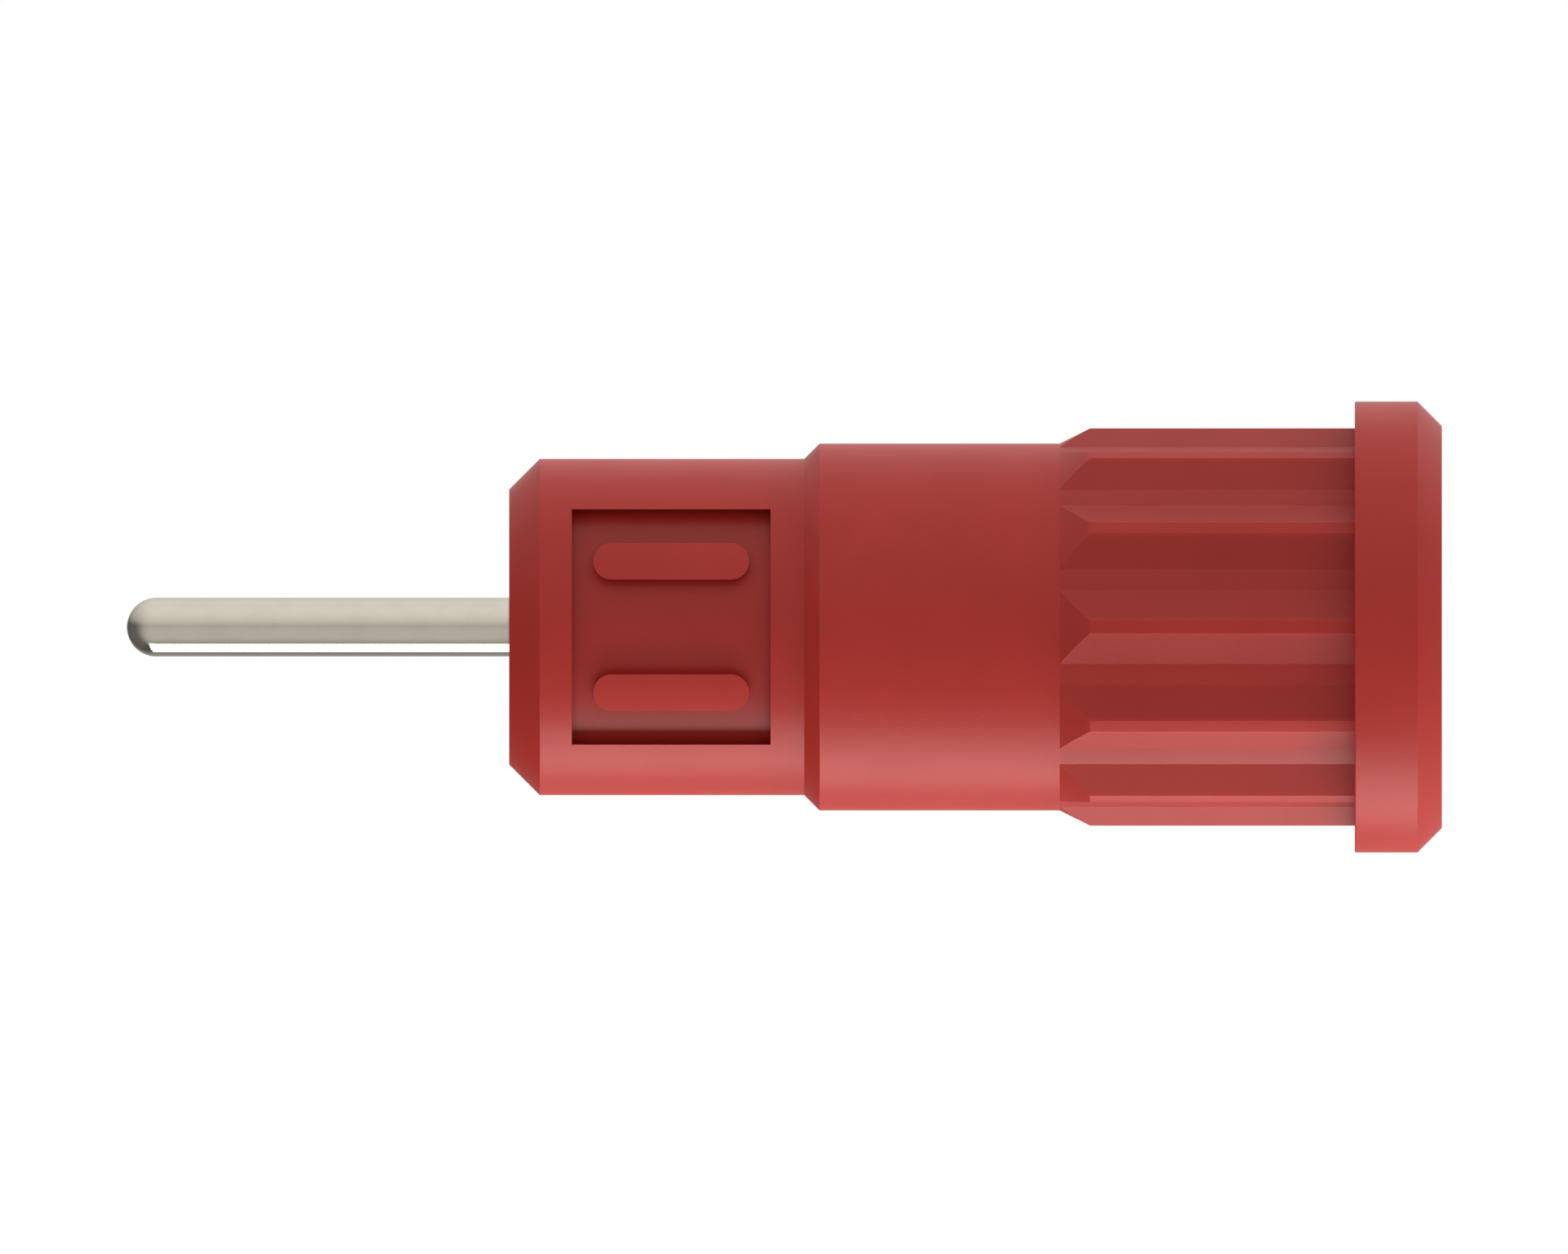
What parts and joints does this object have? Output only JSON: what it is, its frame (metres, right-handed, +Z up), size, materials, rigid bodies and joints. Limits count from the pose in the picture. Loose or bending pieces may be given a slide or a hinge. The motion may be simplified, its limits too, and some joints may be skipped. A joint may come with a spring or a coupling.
{
  "type": "banana socket",
  "caption": "Shrouded 4 mm safety banana socket with a press-in ribbed barrel, a panel flange and a solder pin for a circuit board.",
  "frame": {"origin": "centre of the flange's back face, the face that seats on the panel", "axes": "+X along the socket's axis, out of the panel towards the plug; the solder pin points to -X; -Y is the side with the marking recess; +Z is up"},
  "size_m": [0.0431, 0.0148, 0.0148],
  "materials": {
    "red_polyamide": "satin",
    "nickel_plated_brass": "satin"
  },
  "bodies": {
    "root": {"housing": "red_polyamide", "contact": "nickel_plated_brass"}
  },
  "joints": []
}
